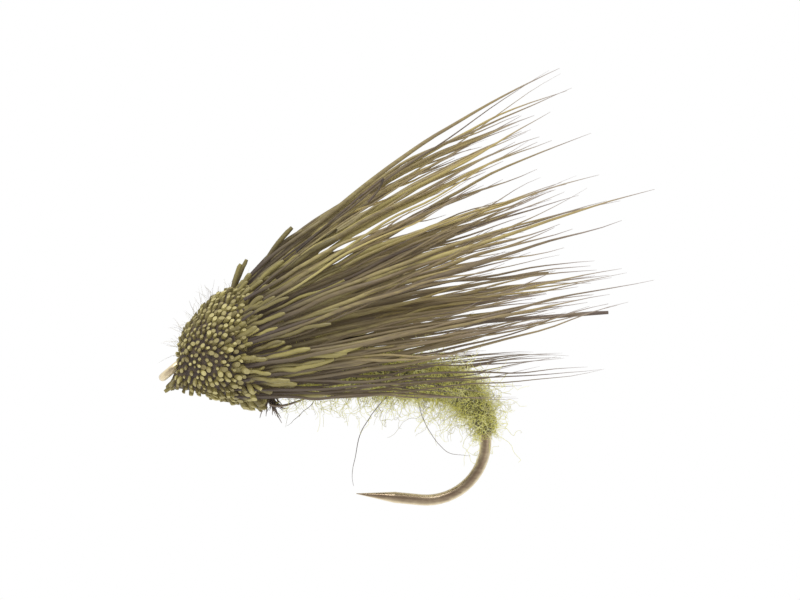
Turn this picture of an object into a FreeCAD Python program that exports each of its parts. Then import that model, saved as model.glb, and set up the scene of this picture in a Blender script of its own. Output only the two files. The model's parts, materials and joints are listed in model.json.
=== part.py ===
import FreeCAD, Part
import math
import os
from FreeCAD import Vector

# A deer-hair sedge dry fly, in millimetres. The origin is the centre of the hook eye. +X runs along
# the shank from the eye to the bend, +Z is up and away from the hook point, and +Y is the fly's side.

# ---- driving sizes ----
# hook wire
WIRE_R = 0.28
EYE_WIRE_R = 0.20
EYE_RING_R = 0.66           # to the middle of the wire
EYE_BORE_R = 0.48           # the seat that the forming mandrel leaves inside the ring
EYE_TILT = math.radians(45)
EYE_GAP = 16                # degrees of open ring beside the neck
NECK_STRAIGHT = 0.05
NECK_BEND_R = 0.45
TAPER_LENGTH = 1.2          # from eye wire to full wire
SHANK_END_X = 12.95
BEND_R = 2.98
SPEAR_LENGTH = 1.3
POINT_LENGTH = 1.95
POINT_TIP_R = 0.012

# tying thread
THREAD_R = 0.045
BASE_START_X = 1.40
BASE_END_ANGLE = 76         # degrees round the bend
WHIP_X = 0.95
WHIP_TURNS = 5
WHIP_LAYERS = 2
LASH_TURNS = 4
WING_LASH_TURNS = 8
WING_LASH_LAYERS = 2
VARNISH_LENGTH = 0.10
VARNISH_FRONT_R = 0.27
VARNISH_R = 0.34

# dubbed body
BODY_FRONT_X = 4.75
BODY_END_ANGLE = 80         # degrees round the bend
BODY_FRONT_R = 0.62
BODY_BELLY_R = 0.95
BODY_TAIL_R = 0.42
BODY_BELLY_SHARE = 0.65     # of the shank's part of the body, where it is fullest
BODY_TAIL_ROUNDING = 0.7
BODY_SHANK_SECTIONS = (0.0, 0.12, 0.35, 0.65, 0.9)      # shares of the shank's part
BODY_BEND_SECTIONS = (0.2, 0.5, 0.78, 1.0)              # shares of the bend's part

# spun hair head, trimmed to a bullet with a flat underside
HEAD_FRONT_X = 0.40
HEAD_BACK_X = 3.45
HEAD_CLUMPS = 4
HEAD_SECTIONS = 13
HEAD_OUTLINE_POINTS = 20
HEAD_ROUNDING = 0.6         # under 1 swells the bullet's nose
HEAD_FRONT_W = 0.80
HEAD_BACK_W = 2.85
HEAD_FRONT_TOP = 0.90
HEAD_BACK_TOP = 3.90
HEAD_FRONT_BOTTOM = 1.70
HEAD_BACK_BOTTOM = 2.08
EYE_NOTCH_R = 1.02          # hair is trimmed away round the eye
HEAD_HOLLOW_R = 0.50        # and it stands clear of the whip finish
HEAD_HOLLOW_LENGTH = 0.62

# wing
TIE_X = 4.15                # where the wing leaves its thread lashing
ROOT_HALF_WIDTH = 2.45      # of the hair's spread there
ROOT_ABOVE = 3.55
ROOT_BELOW = 1.85
WING_HIGH = math.radians(41)    # how steeply the top of the wing leaves, seen from the side
WING_LOW = math.radians(4)
WING_SIDE = math.radians(14)    # how far its sides lean out, seen from above
WING_BOW = math.radians(7)      # a lock starts this much steeper, and ends this much flatter
BOW_SHARE = 0.4                 # of a lock's length, before its bow's corner
LOCK_RADII = (0.15, 0.22, 0.27, 0.31, 0.32, 0.29, 0.24, 0.15, 0.05)
LOCK_SHORTER = 0.10             # every other lock
CROWN_SHORTER = 0.08            # the highest lock
BELLY_SHORTER = 0.20            # the lowest lock
# name: (share of the spread, locks, lowest roll in degrees, longest lock)
WING_BUNCHES = {
    "wing_bunch_inner": (0.42, 7, 82, 17.0),
    "wing_bunch_middle": (0.71, 9, 112, 19.0),
    "wing_bunch_outer": (1.00, 13, 136, 20.3),
}

# collar of cut hair over the wing's root
COLLAR_SHARE = 1.15
COLLAR_STUB_R = 0.15
COLLAR_STEEPER = math.radians(16)
COLLAR_FIRST_ROLL = 6
COLLAR_ROLL_STEP = 13.5
COLLAR_STUBS = 9            # a side
COLLAR_LENGTHS = (1.9, 3.4, 2.5, 4.2)

# odds and ends
TUFT_X = 4.62               # waxed trimmings of hair under the wing's tie-in
TUFT_GAP = 0.30
TUFT_ROOT_R = 0.16
TUFT_TIP_R = 0.42
TUFT_LENGTH = 1.15
TUFT_LEAN = math.radians(-75)
PICKED_R = 0.03             # dubbing fibres teased out of the body
PICKED_STEP = 0.8
PICKED_LENGTH = 0.50
PICKED_ROLLS = (150, 180, 210)

# ---- worked out ----
EYE_SIN = math.sin(EYE_TILT)
EYE_COS = math.cos(EYE_TILT)
EYE_NORMAL = Vector(-EYE_SIN, 0, EYE_COS)
NECK_FOOT = EYE_RING_R + NECK_STRAIGHT
SHANK_Z = NECK_FOOT * EYE_SIN + NECK_BEND_R * (1 - EYE_COS)
SHANK_START_X = (NECK_FOOT + NECK_BEND_R) * EYE_COS
BEND_CENTRE = Vector(SHANK_END_X, 0, SHANK_Z - BEND_R)
SPEAR_Z = SHANK_Z - 2 * BEND_R
BASE_R = WIRE_R + 2 * THREAD_R
CLUMP_LENGTH = (HEAD_BACK_X - HEAD_FRONT_X) / HEAD_CLUMPS

X, Y, Z = Vector(1, 0, 0), Vector(0, 1, 0), Vector(0, 0, 1)


# ---- helpers ----
def radial(roll):
    """The unit vector out of the shank at a roll in degrees: 0 is up, 90 is +Y."""
    a = math.radians(roll)
    return Vector(0, math.sin(a), math.cos(a))


def on_shank(x):
    return Vector(x, 0, SHANK_Z)


def on_bend(angle):
    """A point of the bend's centreline and its direction, angle degrees after the shank ends."""
    a = math.radians(angle)
    point = BEND_CENTRE + Vector(math.sin(a), 0, math.cos(a)) * BEND_R
    return point, Vector(math.cos(a), 0, -math.sin(a))


def disc_wire(centre, direction, r):
    return Part.Wire(Part.makeCircle(r, centre, direction))


def loft(wires, ruled=False):
    return Part.makeLoft(wires, True, ruled)


def bent_rod(r, start, start_direction, arcs):
    """A rod of radius r along the given edges."""
    path = Part.Wire(arcs)
    return path.makePipeShell([disc_wire(start, start_direction, r)], True, True)


def one_solid(shape):
    """The shape's single solid, with its seams merged."""
    merged = shape.removeSplitter()
    assert len(merged.Solids) == 1, f"{len(merged.Solids)} solids where one was meant"
    return merged.Solids[0]


# ---- hook ----
def eye_ring():
    """The open ring of the eye: a torus with a gap beside the neck."""
    ring = Part.makeTorus(EYE_RING_R, EYE_WIRE_R, Vector(0, 0, 0), Z, -180, 180, 360 - EYE_GAP)
    # the ring starts at the neck, which is its own +X before the eye is tilted
    turned = FreeCAD.Placement(Vector(0, 0, 0), FreeCAD.Rotation(Y, -math.degrees(EYE_TILT)))
    ring.Placement = turned.multiply(ring.Placement)
    return ring


def neck():
    """The short straight foot out of the ring and the arc that turns it along the shank."""
    along = Vector(EYE_COS, 0, EYE_SIN)
    foot = along * (EYE_RING_R - EYE_WIRE_R / 2)
    knee = along * NECK_FOOT
    centre = knee + Vector(EYE_SIN, 0, -EYE_COS) * NECK_BEND_R
    half = EYE_TILT / 2
    middle = centre + Vector(-math.sin(half), 0, math.cos(half)) * NECK_BEND_R
    edges = [
        Part.LineSegment(foot, knee).toShape(),
        Part.Arc(knee, middle, on_shank(SHANK_START_X)).toShape(),
    ]
    return bent_rod(EYE_WIRE_R, foot, along, edges)


def hook():
    taper = Part.makeCone(EYE_WIRE_R, WIRE_R, TAPER_LENGTH, on_shank(SHANK_START_X), X)
    shank_x = SHANK_START_X + TAPER_LENGTH
    shank = Part.makeCylinder(WIRE_R, SHANK_END_X - shank_x, on_shank(shank_x), X)
    bend_arc = Part.Arc(on_bend(0)[0], on_bend(90)[0], on_bend(180)[0]).toShape()
    bend = bent_rod(WIRE_R, on_bend(0)[0], X, [bend_arc])
    spear = Part.makeCylinder(WIRE_R, SPEAR_LENGTH, Vector(SHANK_END_X, 0, SPEAR_Z), -X)
    point_x = SHANK_END_X - SPEAR_LENGTH
    point = Part.makeCone(WIRE_R, POINT_TIP_R, POINT_LENGTH, Vector(point_x, 0, SPEAR_Z), -X)
    wire = shank.fuse([taper, bend, spear, point])
    # the neck and the ring keep the mandrel seat clear
    eye = neck().fuse(eye_ring())
    seat = Part.makeCylinder(EYE_BORE_R, 4 * EYE_WIRE_R, EYE_NORMAL * (-2 * EYE_WIRE_R), EYE_NORMAL)
    return one_solid(wire.fuse(eye.cut(seat)))


# ---- thread ----
def thread_sleeve(x, r_in, turns, layers=1):
    """Touching turns of thread as a ring with one round rib a turn. It starts at x."""
    pitch = 2 * THREAD_R
    r_out = r_in + layers * pitch - THREAD_R
    edges = [Part.LineSegment(Vector(x, 0, r_in), Vector(x, 0, r_out)).toShape()]
    for turn in range(turns):
        left = Vector(x + turn * pitch, 0, r_out)
        right = Vector(x + (turn + 1) * pitch, 0, r_out)
        crown = Vector(x + (turn + 0.5) * pitch, 0, r_out + THREAD_R)
        edges.append(Part.Arc(left, crown, right).toShape())
    end_x = x + turns * pitch
    edges.append(Part.LineSegment(Vector(end_x, 0, r_out), Vector(end_x, 0, r_in)).toShape())
    edges.append(Part.LineSegment(Vector(end_x, 0, r_in), Vector(x, 0, r_in)).toShape())
    ring = Part.Face(Part.Wire(edges)).revolve(Vector(0, 0, 0), X, 360)
    ring.translate(Vector(0, 0, SHANK_Z))
    return ring


def thread_base(wire):
    """The first layer of thread, from behind the eye to the end of the body."""
    straight = Part.makeCylinder(BASE_R, SHANK_END_X - BASE_START_X, on_shank(BASE_START_X), X)
    end, _ = on_bend(BASE_END_ANGLE)
    middle, _ = on_bend(BASE_END_ANGLE / 2)
    arc = Part.Arc(on_bend(0)[0], middle, end).toShape()
    curved = bent_rod(BASE_R, on_bend(0)[0], X, [arc])
    return one_solid(straight.fuse(curved).cut(wire))


# ---- dubbed body ----
def body_radius(x):
    """The dubbing's radius on the straight shank."""
    share = (x - BODY_FRONT_X) / (SHANK_END_X - BODY_FRONT_X)
    full = math.sin(min(1.0, share / BODY_BELLY_SHARE) * math.pi / 2)
    return BODY_FRONT_R + (BODY_BELLY_R - BODY_FRONT_R) * full


def dubbed_body(inner):
    """The wound dubbing: slim behind the wing, fullest before the bend, slim again at its end."""
    discs = []
    for share in BODY_SHANK_SECTIONS:
        x = BODY_FRONT_X + share * (SHANK_END_X - BODY_FRONT_X)
        discs.append(disc_wire(on_shank(x), X, body_radius(x)))
    for share in BODY_BEND_SECTIONS:
        point, direction = on_bend(BODY_END_ANGLE * share)
        slim = math.cos(share * math.pi / 2) ** BODY_TAIL_ROUNDING
        discs.append(disc_wire(point, direction, BODY_TAIL_R + (BODY_BELLY_R - BODY_TAIL_R) * slim))
    return one_solid(loft(discs).cut(inner))


# ---- spun hair head ----
def head_section(x):
    """The head's outline across the shank: a tall half ellipse over a shallow one."""
    t = max(0.0, (x - HEAD_FRONT_X) / (HEAD_BACK_X - HEAD_FRONT_X))
    swell = math.sin(math.pi / 2 * t ** HEAD_ROUNDING)
    half_width = HEAD_FRONT_W + (HEAD_BACK_W - HEAD_FRONT_W) * swell
    top = HEAD_FRONT_TOP + (HEAD_BACK_TOP - HEAD_FRONT_TOP) * swell
    bottom = HEAD_FRONT_BOTTOM + (HEAD_BACK_BOTTOM - HEAD_FRONT_BOTTOM) * t
    points = []
    for k in range(HEAD_OUTLINE_POINTS):
        a = 2 * math.pi * k / HEAD_OUTLINE_POINTS
        height = top if math.cos(a) > 0 else bottom
        points.append(Vector(x, half_width * math.sin(a), SHANK_Z + height * math.cos(a)))
    outline = Part.BSplineCurve()
    outline.interpolate(Points=points, PeriodicFlag=True)
    return Part.Wire(outline.toShape())


def head_clumps(inner):
    """Spun bunches of hair packed along the shank, one solid each, front one first."""
    length = HEAD_BACK_X - HEAD_FRONT_X
    # sections crowd towards the nose, where the outline turns fastest
    shares = [(k / (HEAD_SECTIONS - 1)) ** 2 for k in range(HEAD_SECTIONS)]
    whole = loft([head_section(HEAD_FRONT_X + length * share) for share in shares])
    # both cutters reach past the head on every side
    reach = 2 * HEAD_BACK_TOP
    notch = Part.makeCylinder(EYE_NOTCH_R, 2 * reach, EYE_NORMAL * -reach, EYE_NORMAL)
    clumps = []
    for k in range(HEAD_CLUMPS):
        corner = on_shank(HEAD_FRONT_X + CLUMP_LENGTH * k) - (Y + Z) * reach
        slab = Part.makeBox(CLUMP_LENGTH, 2 * reach, 2 * reach, corner)
        clumps.append(whole.common(slab).cut(notch).cut(inner))
    return clumps


# ---- wing ----
def hair_root(roll, share):
    """Where hair at a roll leaves its lashing, for a share of the hair's whole spread there."""
    a = math.radians(roll)
    height = ROOT_ABOVE if math.cos(a) > 0 else ROOT_BELOW
    return on_shank(TIE_X) + (Y * (ROOT_HALF_WIDTH * math.sin(a)) + Z * (height * math.cos(a))) * share


def hair_way(root, steeper=0.0):
    """The direction of hair from a root: the higher the root the steeper, and outwards at the sides."""
    lowest = SHANK_Z - ROOT_BELOW
    rise = (root.z - lowest) / (ROOT_ABOVE + ROOT_BELOW)
    elevation = WING_LOW + (WING_HIGH - WING_LOW) * rise + steeper
    sideways = WING_SIDE * root.y / ROOT_HALF_WIDTH
    return Vector(
        math.cos(elevation) * math.cos(sideways),
        math.sin(sideways),
        math.sin(elevation) * math.cos(sideways),
    )


def lock(base, start, end, length, radii):
    """A lock of hair: a tapered rod on a smooth bow from base, leaving along start, ending along end."""
    control = base + start * (BOW_SHARE * length)
    tip = control + end * ((1 - BOW_SHARE) * length)
    bow = Part.BezierCurve()
    bow.setPoles([base, control, tip])
    wires = []
    for k, r in enumerate(radii):
        u = k / (len(radii) - 1)
        wires.append(disc_wire(bow.value(u), Vector(*bow.tangent(u)[0]), r))
    return loft(wires, ruled=True)


def wing_bunch(share, count, lowest, longest):
    locks = []
    for k in range(count):
        roll = lowest * (2 * k / (count - 1) - 1)
        base = hair_root(roll, share)
        above = max(0.0, math.cos(math.radians(roll)))
        below = max(0.0, -math.cos(math.radians(roll)))
        bow = WING_BOW * above
        shorter = LOCK_SHORTER * (k % 2) + CROWN_SHORTER * above ** 2 + BELLY_SHORTER * below
        length = longest * (1 - shorter)
        locks.append(lock(base, hair_way(base, bow), hair_way(base, -bow), length, LOCK_RADII))
    return Part.makeCompound(locks)


def collar(side):
    """Cut hair butts that lean back over the wing's root, on one side of the fly."""
    stubs = []
    for k in range(COLLAR_STUBS):
        roll = side * (COLLAR_FIRST_ROLL + COLLAR_ROLL_STEP * k)
        foot = hair_root(roll, COLLAR_SHARE)
        length = COLLAR_LENGTHS[k % len(COLLAR_LENGTHS)]
        way = hair_way(foot, COLLAR_STEEPER * math.cos(math.radians(roll)))
        stubs.append(Part.makeCylinder(COLLAR_STUB_R, length, foot, way))
    return Part.makeCompound(stubs)


# ---- odds and ends ----
def varnish_drop():
    """The set drop of varnish that wets the front of the whip finish."""
    return Part.makeCone(VARNISH_FRONT_R, VARNISH_R, VARNISH_LENGTH, on_shank(WHIP_X - VARNISH_LENGTH), X)


def throat_tuft():
    """Waxed trimmings that the last turns of dubbing hold under the tie-in, fanned at the end."""
    root = on_shank(TUFT_X) - Z * (BODY_FRONT_R + TUFT_GAP)
    way = X * math.cos(TUFT_LEAN) + Z * math.sin(TUFT_LEAN)
    return Part.makeCone(TUFT_ROOT_R, TUFT_TIP_R, TUFT_LENGTH, root, way)


def picked_fibres():
    """Dubbing teased out of the body's underside."""
    fibres = []
    count = int((SHANK_END_X - BODY_FRONT_X) / PICKED_STEP)
    for k in range(1, count):
        x = BODY_FRONT_X + PICKED_STEP * k
        for roll in PICKED_ROLLS:
            root = on_shank(x) + radial(roll) * (body_radius(x) + PICKED_R)
            fibres.append(Part.makeCylinder(PICKED_R, PICKED_LENGTH, root, radial(roll)))
    return Part.makeCompound(fibres)


def build():
    steel = hook()
    base = thread_base(steel)
    nodes = {"hook": steel, "thread_base": base}
    core = steel.fuse(base)
    nodes["dubbed_body"] = dubbed_body(core)
    lashings = []
    for k in range(1, HEAD_CLUMPS):
        x = HEAD_FRONT_X + CLUMP_LENGTH * (k + 0.5) - LASH_TURNS * THREAD_R
        lashing = thread_sleeve(x, BASE_R, LASH_TURNS).cut(core)
        nodes[f"clump_lashing_{k + 1}"] = lashing
        lashings.append(lashing)
    whip = thread_sleeve(WHIP_X, EYE_WIRE_R, WHIP_TURNS, WHIP_LAYERS + 1).cut(core)
    nodes["whip_finish"] = whip
    varnish = varnish_drop().cut(core)
    hollow = Part.makeCylinder(HEAD_HOLLOW_R, HEAD_HOLLOW_LENGTH, on_shank(WHIP_X - VARNISH_LENGTH), X)
    inner = core.fuse(lashings + [hollow])
    for k, clump in enumerate(head_clumps(inner)):
        nodes[f"head_clump_{k + 1}"] = clump
    nodes["varnish_drop"] = varnish
    nodes["wing_lashing"] = thread_sleeve(HEAD_BACK_X, BASE_R, WING_LASH_TURNS, WING_LASH_LAYERS)
    for name, sizes in WING_BUNCHES.items():
        nodes[name] = wing_bunch(*sizes)
    nodes["collar_right"] = collar(1)
    nodes["collar_left"] = collar(-1)
    nodes["throat_tuft"] = throat_tuft()
    nodes["picked_fibres"] = picked_fibres()
    return nodes


def main():
    os.makedirs("parts", exist_ok=True)
    for name, shape in build().items():
        assert shape.isValid() and shape.Volume > 0, f"{name} isn't a sound solid"
        shape.exportStep(f"parts/{name}.step")
        print(f"{name}: {len(shape.Solids)} solids, {shape.Volume:.3f} mm3")


main()
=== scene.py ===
import json
import math
import random

import bmesh
import bpy
from mathutils import Matrix, Vector


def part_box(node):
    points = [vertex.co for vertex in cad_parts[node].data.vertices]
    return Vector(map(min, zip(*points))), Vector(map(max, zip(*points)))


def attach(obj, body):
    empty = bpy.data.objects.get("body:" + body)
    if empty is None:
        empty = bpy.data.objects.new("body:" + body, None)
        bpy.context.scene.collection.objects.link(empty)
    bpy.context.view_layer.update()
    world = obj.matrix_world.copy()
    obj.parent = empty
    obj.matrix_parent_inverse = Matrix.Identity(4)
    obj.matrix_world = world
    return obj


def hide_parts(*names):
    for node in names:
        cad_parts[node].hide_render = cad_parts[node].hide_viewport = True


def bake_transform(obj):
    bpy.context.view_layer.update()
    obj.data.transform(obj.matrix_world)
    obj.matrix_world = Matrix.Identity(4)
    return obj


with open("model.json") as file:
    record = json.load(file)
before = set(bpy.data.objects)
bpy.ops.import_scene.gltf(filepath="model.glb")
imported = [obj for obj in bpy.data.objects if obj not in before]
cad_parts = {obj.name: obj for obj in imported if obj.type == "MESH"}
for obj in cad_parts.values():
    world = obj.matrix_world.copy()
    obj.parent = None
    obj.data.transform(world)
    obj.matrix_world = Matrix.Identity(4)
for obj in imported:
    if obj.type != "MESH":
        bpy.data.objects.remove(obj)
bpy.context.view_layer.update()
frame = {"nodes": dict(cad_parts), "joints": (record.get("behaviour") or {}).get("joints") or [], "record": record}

# ---- The hook's group ----------------
# The hook carries the body, the head and all the thread. The wing's joint gives the place just
# behind the thread that lashes the wing and the collar of cut hair.
MM = 0.001
HOOK_BODY = "hook_and_body"
WING_BODY = "wing"
wing_flex = next(j for j in frame["joints"] if j["child"] == WING_BODY)
TIE = Vector(wing_flex["pos_m"])            # where the wing leaves its lashing, on the shank's line
SHANK_Z = TIE.z


def mount(name):
    return next(m for m in frame["record"]["mounts"] if m["name"] == name)


# ---- Hook ------------
# One piece of carbon steel wire, bent to a down-turned ring eye and a round bend, ground to a
# needle point and bronzed: brown lacquer, golden round the eye, with a painted golden highlight
# along the wire's edges that face up and down across the view.


class Value:
    """One output of a node tree. Its arithmetic adds Math nodes to the tree."""

    def __init__(self, tree, socket):
        self.tree = tree
        self.socket = socket

    def math(self, operation, *others, clamp=False):
        return self.tree.node("ShaderNodeMath", {"operation": operation, "use_clamp": clamp}, {
            number: value for number, value in enumerate((self,) + others)})

    def __add__(self, other):
        return self.math("ADD", other)

    def __sub__(self, other):
        return self.math("SUBTRACT", other)

    def __mul__(self, other):
        return self.math("MULTIPLY", other)

    def __truediv__(self, other):
        return self.math("DIVIDE", other)

    def __pow__(self, other):
        return self.math("POWER", other)

    def __rsub__(self, other):
        return self.tree.node("ShaderNodeMath", {"operation": "SUBTRACT"}, {0: other, 1: self})

    __radd__ = __add__
    __rmul__ = __mul__

    def clamped(self):
        return self.math("ADD", 0.0, clamp=True)

    def between(self, low, high):
        """0 below low, 1 above high, and a smooth climb between them."""
        return self.tree.node("ShaderNodeMapRange", {"interpolation_type": "SMOOTHSTEP"}, {
            "Value": self, "From Min": low, "From Max": high, "To Min": 0.0, "To Max": 1.0})

    def out(self, name):
        """Another output of the same node."""
        return Value(self.tree, next(o for o in self.socket.node.outputs if o.identifier == name))


class Tree:
    """A node tree that is written as code."""

    def __init__(self, node_tree):
        self.nodes = node_tree.nodes
        self.links = node_tree.links
        self.node_tree = node_tree

    def node(self, kind, settings=None, sockets=None, output=None):
        """Adds a node, sets it up, sets or links its sockets, and returns its first live output."""
        made = self.nodes.new(kind)
        for name, value in (settings or {}).items():
            if name == "stops":
                ramp = made.color_ramp.elements
                while len(ramp) < len(value):
                    ramp.new(0.5)
                for stop, (place, colour) in zip(ramp, value):
                    stop.position = place
                    stop.color = (*colour, 1.0)
            else:
                setattr(made, name, value)
        for name, value in (sockets or {}).items():
            socket = made.inputs[name] if isinstance(name, int) else self.live(made.inputs, name)
            if isinstance(value, Value):
                self.links.new(value.socket, socket)
            else:
                socket.default_value = value
        if not made.outputs:
            return made
        return Value(self, self.live(made.outputs, output))

    @staticmethod
    def live(sockets, name):
        return next(s for s in sockets if s.enabled and name in (None, s.name, s.identifier))

    def attribute(self, name):
        return self.node("ShaderNodeAttribute", {"attribute_name": name}, output="Fac")

    def noise(self, scale, detail=2.0, rough=0.5, vector=None, **more):
        sockets = {"Scale": scale, "Detail": detail, "Roughness": rough}
        sockets["Vector"] = vector or self.node("ShaderNodeTexCoord", output="Object")
        return self.node("ShaderNodeTexNoise", more, sockets)

    def stretched(self, scale):
        """Object coordinates, scaled apart along each axis."""
        place = self.node("ShaderNodeTexCoord", output="Object")
        return self.node("ShaderNodeMapping", None, {"Vector": place, "Scale": scale})

    def ramp(self, value, *stops):
        return self.node("ShaderNodeValToRGB", {"stops": stops}, {"Fac": value}, "Color")

    def mix(self, share, first, second, blend="MIX"):
        """A mix of two colours, each a link or three numbers."""
        ends = [c if isinstance(c, Value) else (*c, 1.0) for c in (first, second)]
        return self.node("ShaderNodeMix", {"data_type": "RGBA", "blend_type": blend}, {
            "Factor_Float": share, "A_Color": ends[0], "B_Color": ends[1]}, "Result_Color")

    def bump(self, height, strength, distance):
        return self.node("ShaderNodeBump", None, {
            "Height": height, "Strength": strength, "Distance": distance}, "Normal")


def finish(name, paint, **constants):
    """A material: constants go on the shader's own sockets, and paint(tree) returns what varies."""
    material = bpy.data.materials.new(name)
    material.use_nodes = True
    tree = Tree(material.node_tree)
    shader = tree.nodes["Principled BSDF"]
    for socket, value in constants.items():
        shader.inputs[socket.replace("_", " ")].default_value = value
    for socket, value in paint(tree).items():
        tree.links.new(value.socket, shader.inputs[socket.replace("_", " ")])
    return material


def bronzed_wire(tree):
    blotch = tree.noise(900.0, 4.0, 0.6)
    draw_marks = tree.noise(1.0, 3.0, 0.6, tree.stretched((400.0, 9000.0, 9000.0)))
    facing = tree.node("ShaderNodeTexCoord", output="Normal")
    sideways = tree.node("ShaderNodeSeparateXYZ", None, {0: facing}, "Y").math("ABSOLUTE")
    place = tree.node("ShaderNodeTexCoord", output="Object")
    from_eye = tree.node("ShaderNodeVectorMath", {"operation": "LENGTH"}, {0: place}, "Value")
    at_eye = 1.0 - from_eye.between(0.9 * MM, 1.5 * MM)
    # The wire is golden where its normal lies across the view axis: a painted highlight along its upper and lower
    # edges. Blotches, draw marks and the eye add to it.
    worn = blotch * 0.35 + draw_marks * 0.25 + 0.75 * (1.0 - sideways) + 0.13 * at_eye
    worn = worn.between(0.26, 0.74)
    return {
        "Base_Color": tree.mix(worn, (0.175, 0.120, 0.075), (0.74, 0.62, 0.40)),
        "Metallic": 0.9 - 0.6 * worn,
        "Roughness": 0.20 + 0.22 * blotch,
        "Normal": tree.bump(draw_marks, 0.25, 0.00001),
    }


def coated(name, material):
    """Shows a CAD node as it is, in this material."""
    node = frame["nodes"][name]
    node.data.materials.clear()
    node.data.materials.append(material)


HOOK_BRONZE = finish("bronzed_wire", bronzed_wire, Coat_Weight=0.4, Coat_Roughness=0.12)
coated("hook", HOOK_BRONZE)

# ---- Tying thread ------------
# Waxed dark brown thread, 0.09 mm thick, wound in touching turns. The first layer and the turns
# inside the head stay buried; the whip finish shows behind the eye, wetted with varnish.
THREAD_R = 0.045 * MM
THREAD_STEPS = 28                           # points in a turn
SOCKET_KINDS = {int: "NodeSocketInt", float: "NodeSocketFloat", type(None): "NodeSocketMaterial"}


class GeometryTree(Tree):
    """A Geometry Nodes tree with named inputs, which grow() runs on a mesh."""

    def __init__(self, name, **inputs):
        group = bpy.data.node_groups.new(name, "GeometryNodeTree")
        super().__init__(group)
        for direction in ("INPUT", "OUTPUT"):
            group.interface.new_socket("Geometry", in_out=direction, socket_type="NodeSocketGeometry")
        for label, value in {**inputs, "Material": None}.items():
            kind = SOCKET_KINDS[type(value)]
            made = group.interface.new_socket(label, in_out="INPUT", socket_type=kind)
            if value is not None:
                made.default_value = value
        self.inlet = self.nodes.new("NodeGroupInput")
        self.outlet = self.nodes.new("NodeGroupOutput")

    def given(self, label):
        return Value(self, self.inlet.outputs[label])

    def vector(self, operation, *values, output="Vector", **sockets):
        numbered = dict(enumerate(values))
        sockets.update(numbered)
        return self.node("ShaderNodeVectorMath", {"operation": operation}, sockets, output)

    def sum(self, first, *others):
        """Vectors added up, from the left."""
        for other in others:
            first = self.vector("ADD", first, other)
        return first

    def scaled(self, vector, factor):
        return self.vector("SCALE", vector, Scale=factor)

    def xyz(self, x, y, z):
        return self.node("ShaderNodeCombineXYZ", None, {"X": x, "Y": y, "Z": z})

    def named(self, name, kind="FLOAT"):
        settings = {"data_type": kind}
        return self.node("GeometryNodeInputNamedAttribute", settings, {"Name": name}, "Attribute")

    def named_vector(self, name):
        return self.named(name, "FLOAT_VECTOR")

    def store(self, geometry, name, value, domain="POINT"):
        kind = "FLOAT_VECTOR" if value.socket.type == "VECTOR" else "FLOAT"
        return self.node("GeometryNodeStoreNamedAttribute", {"data_type": kind, "domain": domain}, {
            "Geometry": geometry, "Name": name, "Value": value})

    def chance(self, seed, low=0.0, high=1.0):
        """A random number for each element."""
        return self.node("FunctionNodeRandomValue", {"data_type": "FLOAT"}, {
            "Min_001": low, "Max_001": high, "Seed": seed}, "Value_001")

    def chance_vector(self, seed, reach=1.0):
        return self.node("FunctionNodeRandomValue", {"data_type": "FLOAT_VECTOR"}, {
            "Min": (-reach,) * 3, "Max": (reach,) * 3, "Seed": seed}, "Value")

    def wander(self, along, number):
        """A smooth random walk about zero, its own for each number."""
        place = self.xyz(along, 0.0, 0.0)
        noise = self.node("ShaderNodeTexNoise", {"noise_dimensions": "4D"}, {
            "Vector": place, "W": number, "Scale": 1.0, "Detail": 1.0, "Roughness": 0.4}, "Color")
        return self.vector("SUBTRACT", noise, (0.5, 0.5, 0.5))

    def lines_on(self, points, steps):
        """A curve of that many steps on each point, made real, and each step's share of the way."""
        line = self.node("GeometryNodeCurvePrimitiveLine", None, {"End": (0.0, 0.0, MM)})
        line = self.node("GeometryNodeResampleCurve", None, {"Curve": line, "Count": steps})
        hairs = self.node("GeometryNodeInstanceOnPoints", None, {"Points": points, "Instance": line})
        hairs = self.node("GeometryNodeRealizeInstances", None, {"Geometry": hairs})
        return hairs, self.node("GeometryNodeSplineParameter", output="Factor")

    def bow(self, share):
        """The part of a curve's place that its knee and its tip give, at a share of the way."""
        toward_knee = self.scaled(self.named_vector("knee"), (1.0 - share) * share * 2.0)
        return self.sum(toward_knee, self.scaled(self.named_vector("tip"), share * share))

    def moved(self, geometry, position):
        return self.node("GeometryNodeSetPosition", None, {"Geometry": geometry, "Position": position})

    def tube(self, curve, radius, sides):
        """A closed round tube along a curve. Its flat ends are marked 1 in the face attribute cut."""
        ring = {"Resolution": sides, "Radius": 1.0}
        ring = self.node("GeometryNodeCurvePrimitiveCircle", None, ring, "Curve")
        curve = self.node("GeometryNodeSetCurveRadius", None, {"Curve": curve, "Radius": radius})
        radii = self.node("GeometryNodeInputRadius")
        mesh = self.node("GeometryNodeCurveToMesh", None, {
            "Curve": curve, "Profile Curve": ring, "Scale": radii, "Fill Caps": True})
        corners = self.node("GeometryNodeInputMeshFaceNeighbors", output="Vertex Count")
        end = self.node("FunctionNodeCompare", {"data_type": "INT", "operation": "NOT_EQUAL"}, {
            "A_INT": corners, "B_INT": 4})
        mesh = self.store(mesh, "cut", end, "FACE")
        side = self.node("FunctionNodeBooleanMath", {"operation": "NOT"}, {0: end})
        return self.node("GeometryNodeSetShadeSmooth", {"domain": "FACE"}, {
            "Geometry": mesh, "Shade Smooth": side})

    def close(self, geometry):
        """Ends the tree with real geometry in its material."""
        real = self.node("GeometryNodeRealizeInstances", None, {"Geometry": geometry})
        done = self.node("GeometryNodeSetMaterial", None, {
            "Geometry": real, "Material": self.given("Material")})
        self.links.new(done.socket, self.outlet.inputs[0])

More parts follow.
